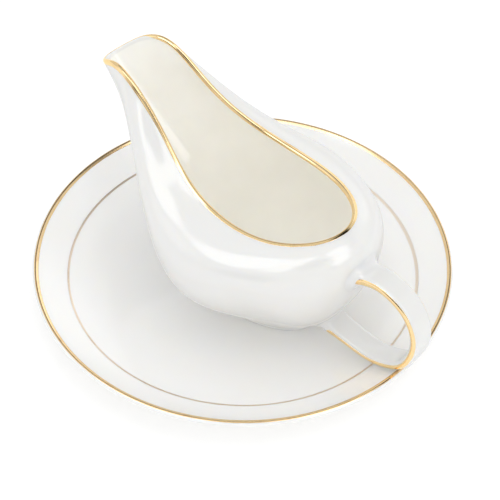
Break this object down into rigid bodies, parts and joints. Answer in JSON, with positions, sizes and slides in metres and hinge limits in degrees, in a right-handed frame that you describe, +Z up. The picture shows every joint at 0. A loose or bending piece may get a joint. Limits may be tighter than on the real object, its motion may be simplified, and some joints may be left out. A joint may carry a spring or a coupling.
{
  "type": "gravy boat",
  "caption": "Porcelain gravy boat with a raised pouring spout and a strap handle, lifting off its own round saucer, with fired gold edges.",
  "frame": {"origin": "on the saucer's axis, in the plane its foot ring stands on", "axes": "+Z up along the saucer's axis; +X the way the spout pours, with the handle at -X; the boat is mirror-symmetric about the XZ plane"},
  "size_m": [0.2116, 0.2032, 0.1153],
  "materials": {
    "saucer_glaze": "gloss",
    "boat_glaze": "gloss",
    "handle_glaze": "gloss",
    "gilding": "burnished gold",
    "gilding_fine": "satin gold"
  },
  "bodies": {
    "saucer": {"saucer": "saucer_glaze", "saucer_rim_gold_band": "gilding", "saucer_inner_gold_line": "gilding_fine"},
    "boat": {"boat_body": "boat_glaze", "handle": "handle_glaze", "boat_rim_gold_band": "gilding", "handle_gold_line_left": "gilding", "handle_gold_line_right": "gilding"}
  },
  "joints": [
    {"name": "boat_lift", "type": "slide", "parent": "saucer", "child": "boat", "axis": [0, 0, 1], "range_m": [0, 0.13]}
  ]
}
